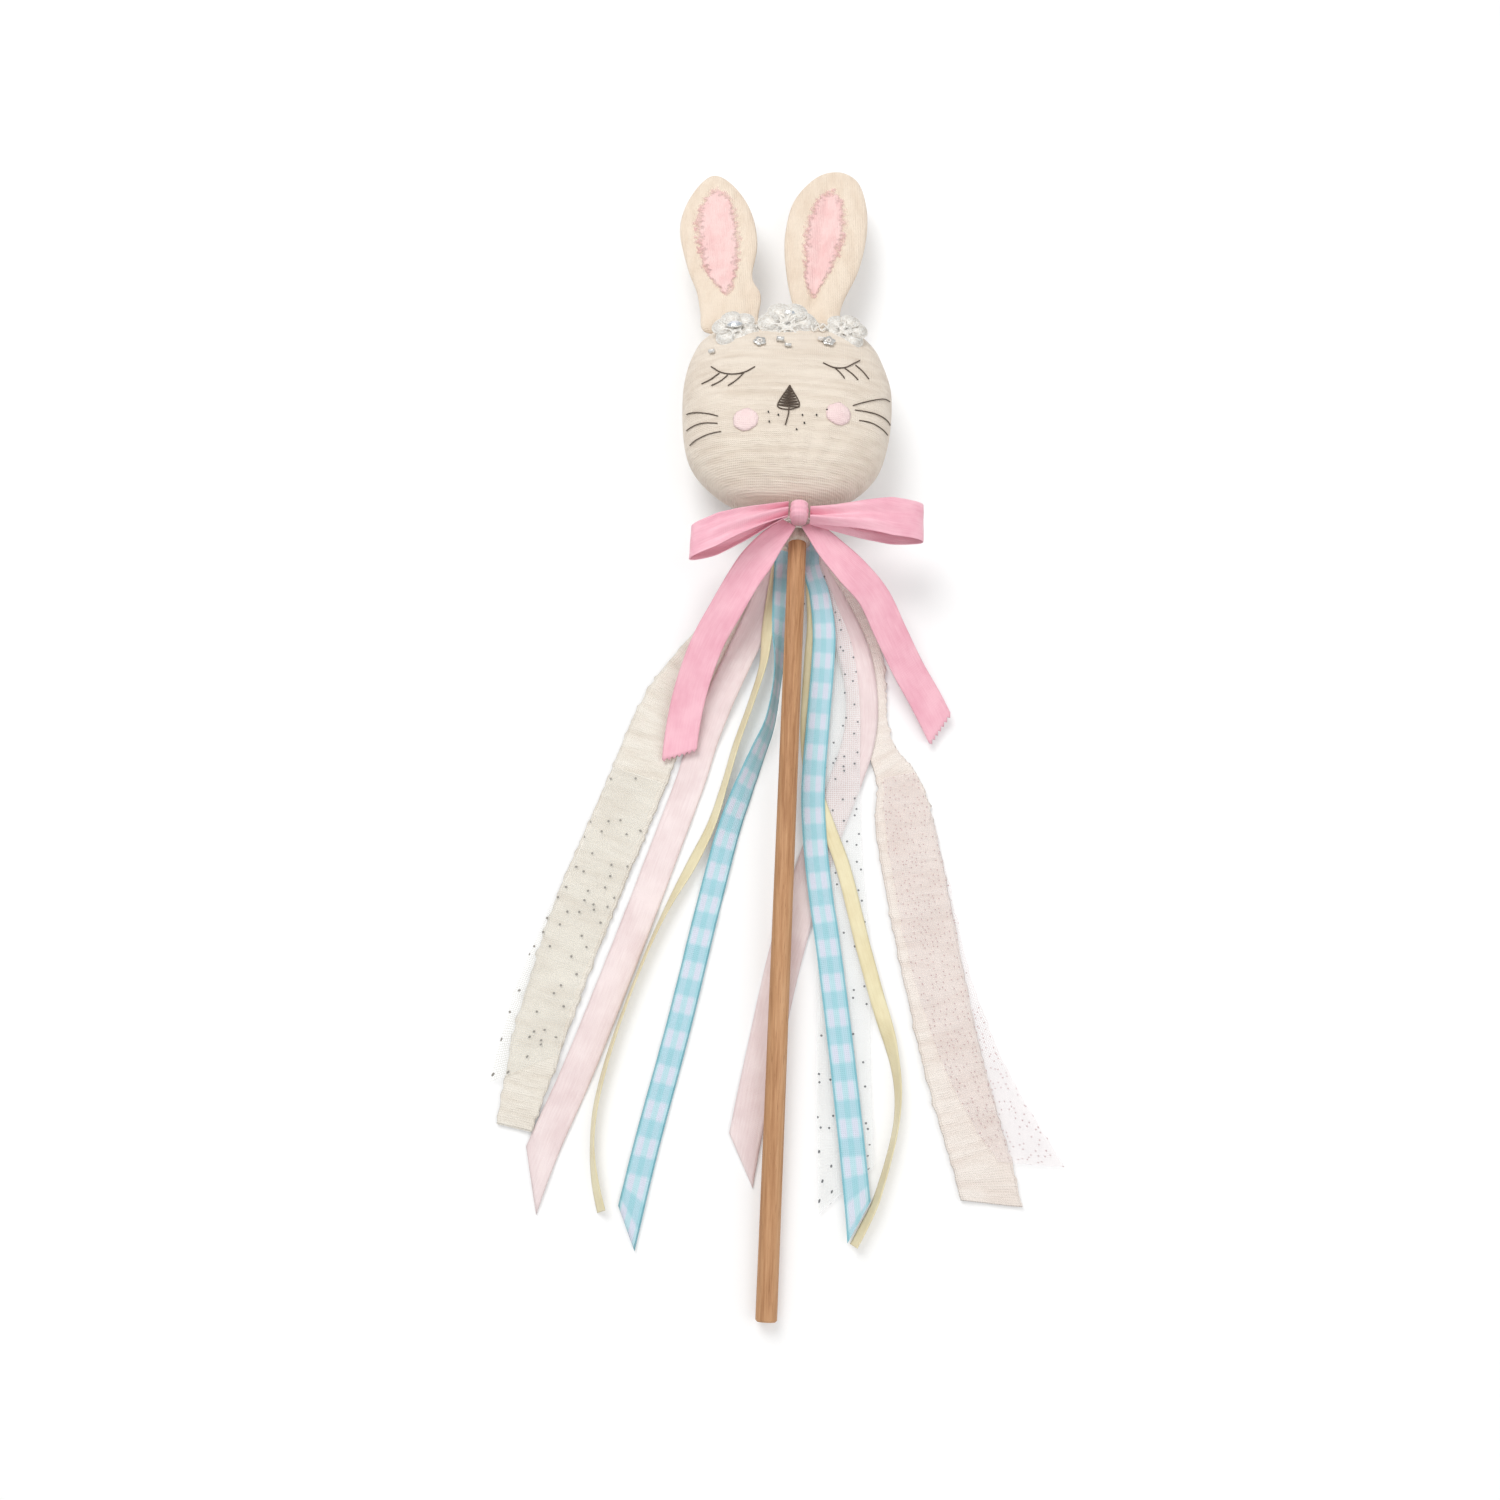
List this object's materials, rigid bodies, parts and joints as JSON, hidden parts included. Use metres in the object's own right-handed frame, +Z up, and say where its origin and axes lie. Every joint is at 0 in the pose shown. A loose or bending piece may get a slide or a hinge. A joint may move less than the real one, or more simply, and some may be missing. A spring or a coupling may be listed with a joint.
{
  "type": "ribbon wand",
  "caption": "Child's ribbon wand: stuffed cloth rabbit head on a wooden stick, with a satin bow and a bundle of mixed ribbons tied at the neck.",
  "frame": {"origin": "middle of the wand's outline on the surface it lies on", "axes": "+Y along the stick towards the head, +Z up, out of the face, +X to the viewer's right"},
  "size_m": [0.2225, 0.5276, 0.0468],
  "materials": {
    "wood": "bare softwood dowel, sanded",
    "linen": "cream double gauze, crinkled",
    "pink_cloth": "pale pink cotton",
    "filling": "white polyester fibre",
    "thread": "cotton thread",
    "lace": "white corded lace",
    "crystal": "faceted clear stones",
    "silver": "silver sequins and beads",
    "brown_thread": "dark brown embroidery thread",
    "satin": "pink polyester satin ribbon",
    "muslin": "cream gauze strip, raw edges",
    "muslin_pink": "pinkish gauze strip, raw edges",
    "tulle": "sheer tulle with silver dots",
    "glitter_tulle": "lilac tulle with glitter",
    "net": "white net ribbon with silver dots",
    "blush": "blush organza satin ribbon",
    "yellow": "pale yellow satin ribbon",
    "gingham": "blue and lilac gingham ribbon, teal edges"
  },
  "bodies": {
    "wand": {"bead_center": "silver", "blush_left_root": "blush", "blush_mid": "blush", "bow_knot": "satin", "bow_loop_left": "satin", "bow_loop_right": "satin", "cheek_left": "pink_cloth", "cheek_right": "pink_cloth", "crystal_center": "crystal", "crystal_left": "crystal", "dowel": "wood", "ear_left_root": "linen", "ear_right_root": "linen", "flower_center_lower": "lace", "flower_center_upper": "lace", "flower_left": "lace", "flower_right": "lace", "gingham_left_root": "gingham", "gingham_right_root": "gingham", "head_back": "linen", "head_front": "linen", "head_stuffing": "filling", "mesh_right_root": "net", "muslin_left_root": "muslin", "muslin_right_root": "muslin_pink", "neck_gather": "linen", "neck_thread": "thread", "nose": "brown_thread", "sequin_left": "silver", "sequin_right": "silver", "tail_left_root": "satin", "tail_right_root": "satin", "yellow_left_root": "yellow", "yellow_right_root": "yellow"},
    "ear_left": {"ear_left_front": "linen", "ear_left_wadding": "filling", "ear_left_back": "linen", "ear_left_patch": "pink_cloth"},
    "ear_right": {"ear_right_front": "linen", "ear_right_wadding": "filling", "ear_right_back": "linen", "ear_right_patch": "pink_cloth"},
    "tail_left": {"tail_left": "satin"},
    "tail_right": {"tail_right": "satin"},
    "muslin_left": {"muslin_left": "muslin", "tulle_left": "tulle"},
    "tulle_left_end": {"tulle_left_end": "tulle"},
    "blush_left": {"blush_left": "blush"},
    "yellow_left": {"yellow_left": "yellow"},
    "gingham_left": {"gingham_left": "gingham"},
    "blush_mid_end": {"blush_mid_end": "blush"},
    "streamers_right": {"mesh_right": "net", "yellow_right": "yellow", "gingham_right": "gingham"},
    "yellow_right_end": {"yellow_right_end": "yellow"},
    "gingham_right_end": {"gingham_right_end": "gingham"},
    "muslin_right": {"muslin_right": "muslin_pink", "glitter_right": "glitter_tulle"},
    "glitter_right_end": {"glitter_right_end": "glitter_tulle"}
  },
  "joints": [
    {"name": "ear_left_fold", "type": "hinge", "parent": "wand", "child": "ear_left", "pos_m": [-0.037, 0.1721, 0.0252], "axis": [1, 0, 0], "range_deg": [0, 90]},
    {"name": "ear_right_fold", "type": "hinge", "parent": "wand", "child": "ear_right", "pos_m": [0.005, 0.1721, 0.0252], "axis": [1, 0, 0], "range_deg": [0, 90]},
    {"name": "tail_left_lift", "type": "hinge", "parent": "wand", "child": "tail_left", "pos_m": [-0.0225, 0.03, 0.0233], "axis": [-1, 0, 0], "range_deg": [0, 80]},
    {"name": "tail_right_lift", "type": "hinge", "parent": "wand", "child": "tail_right", "pos_m": [0.0247, 0.035, 0.02463], "axis": [-1, 0, 0], "range_deg": [0, 80]},
    {"name": "muslin_left_lift", "type": "hinge", "parent": "wand", "child": "muslin_left", "pos_m": [-0.0645, -0.058, 0.0015], "axis": [-1, 0, 0], "range_deg": [0, 90]},
    {"name": "tulle_left_end_lift", "type": "hinge", "parent": "muslin_left", "child": "tulle_left_end", "pos_m": [-0.088, -0.13, 0.0015], "axis": [-1, 0, 0], "range_deg": [0, 90]},
    {"name": "blush_left_lift", "type": "hinge", "parent": "wand", "child": "blush_left", "pos_m": [-0.0418, -0.058, 0.00042], "axis": [-1, 0, 0], "range_deg": [0, 90]},
    {"name": "yellow_left_lift", "type": "hinge", "parent": "wand", "child": "yellow_left", "pos_m": [-0.0117, 0.008, 0.00961], "axis": [-1, 0, 0], "range_deg": [0, 80]},
    {"name": "gingham_left_lift", "type": "hinge", "parent": "wand", "child": "gingham_left", "pos_m": [-0.0061, 0.008, 0.01315], "axis": [-1, 0, 0], "range_deg": [0, 38]},
    {"name": "blush_mid_end_lift", "type": "hinge", "parent": "wand", "child": "blush_mid_end", "pos_m": [-0.0109, -0.203, 0.0004], "axis": [-1, 0, 0], "range_deg": [0, 80]},
    {"name": "streamers_right_lift", "type": "hinge", "parent": "wand", "child": "streamers_right", "pos_m": [0.0131, 0.002, 0.00654], "axis": [-1, 0, 0], "range_deg": [0, 75]},
    {"name": "yellow_right_end_lift", "type": "hinge", "parent": "streamers_right", "child": "yellow_right_end", "pos_m": [0.0296, -0.11, 0.0018], "axis": [-1, 0, 0], "range_deg": [0, 70]},
    {"name": "gingham_right_end_lift", "type": "hinge", "parent": "streamers_right", "child": "gingham_right_end", "pos_m": [0.0166, -0.11, 0.0025], "axis": [-1, 0, 0], "range_deg": [0, 80]},
    {"name": "muslin_right_lift", "type": "hinge", "parent": "wand", "child": "muslin_right", "pos_m": [0.0471, -0.05, 0.0015], "axis": [-1, 0, 0], "range_deg": [0, 85]},
    {"name": "glitter_right_end_lift", "type": "hinge", "parent": "muslin_right", "child": "glitter_right_end", "pos_m": [0.0669, -0.14, 0.0015], "axis": [-1, 0, 0], "range_deg": [0, 80]}
  ]
}
